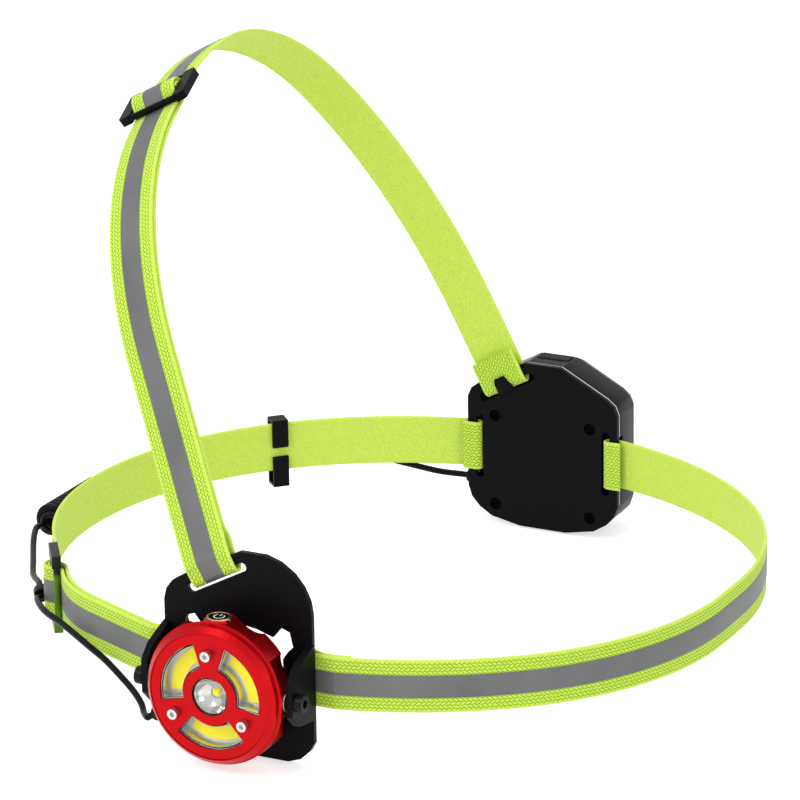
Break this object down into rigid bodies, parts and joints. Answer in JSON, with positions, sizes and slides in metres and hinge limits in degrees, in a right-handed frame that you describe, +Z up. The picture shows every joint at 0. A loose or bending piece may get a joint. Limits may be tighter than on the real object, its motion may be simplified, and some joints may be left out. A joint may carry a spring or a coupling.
{
  "type": "headlamp",
  "caption": "Body-worn headlamp: a round tilting lamp in a two-eared bracket and a battery case on a lime webbing harness with a coiled lead",
  "frame": {"origin": "middle of the space that the band goes round, at the band's mid height", "axes": "+Z up, -Y the way the lamp points, +X to the right of someone facing the lamp"},
  "size_m": [0.3459, 0.3647, 0.2626],
  "materials": {
    "black_nylon": "satin",
    "steel": "satin",
    "red_metal": "satin",
    "black_rubber": "matte",
    "clear": "gloss",
    "chrome": "gloss",
    "phosphor": "gloss",
    "board_white": "matte",
    "board_green": "matte",
    "black_gloss": "gloss",
    "gold_ring": "satin",
    "black_steel": "satin",
    "webbing": "matte",
    "grey_seal": "matte",
    "cell_wrap": "gloss",
    "cord_black": "matte"
  },
  "bodies": {
    "harness": {"front_bracket": "black_nylon", "strap_pins": "steel", "band_strap_right": "webbing", "band_strap_left": "webbing", "shoulder_strap": "webbing", "side_slider": "black_nylon", "top_buckle": "black_nylon", "cord_clamp": "black_nylon", "rear_plate": "black_nylon", "case_screws": "black_steel", "case_seal": "grey_seal", "battery_case": "black_nylon", "battery_cells": "cell_wrap", "contact_springs": "steel", "contact_plates": "steel", "charge_board": "board_green", "usb_socket": "steel", "case_gland": "black_rubber", "cord_rear": "cord_black", "cord_coil": "cord_black", "cord_front": "cord_black"},
    "lamp": {"lamp_body": "red_metal", "face_plate": "red_metal", "face_seal": "black_rubber", "face_screws": "steel", "arc_windows": "clear", "arc_reflectors": "chrome", "cob_strips": "phosphor", "led_board": "board_white", "spot_lens": "clear", "spot_reflector": "chrome", "spot_led": "phosphor", "driver_board": "board_green", "button_ring": "gold_ring", "button_switch": "black_gloss", "lamp_gland": "black_rubber", "pivot_screws": "black_steel", "pivot_washers": "steel"},
    "button": {"power_button": "black_gloss"},
    "cover": {"socket_cover": "black_rubber"},
    "clip": {"cord_clip": "black_nylon"}
  },
  "joints": [
    {"name": "lamp_tilt", "type": "hinge", "parent": "harness", "child": "lamp", "pos_m": [0, -0.1684, -0.003], "axis": [1, 0, 0], "range_deg": [-12, 12]},
    {"name": "power_press", "type": "slide", "parent": "lamp", "child": "button", "axis": [0, 0, -1], "range_m": [0, 0.0005], "stiffness_N_per_m": 800, "springref_m": -0.0005},
    {"name": "cover_lift", "type": "hinge", "parent": "harness", "child": "cover", "pos_m": [0, 0.1727, 0.0447], "axis": [1, 0, 0], "range_deg": [-110, 0]},
    {"name": "clip_shift", "type": "hinge", "parent": "harness", "child": "clip", "pos_m": [-0.01719, 0.00756, 0], "axis": [0, 0, 1], "range_deg": [-4, 4]}
  ]
}
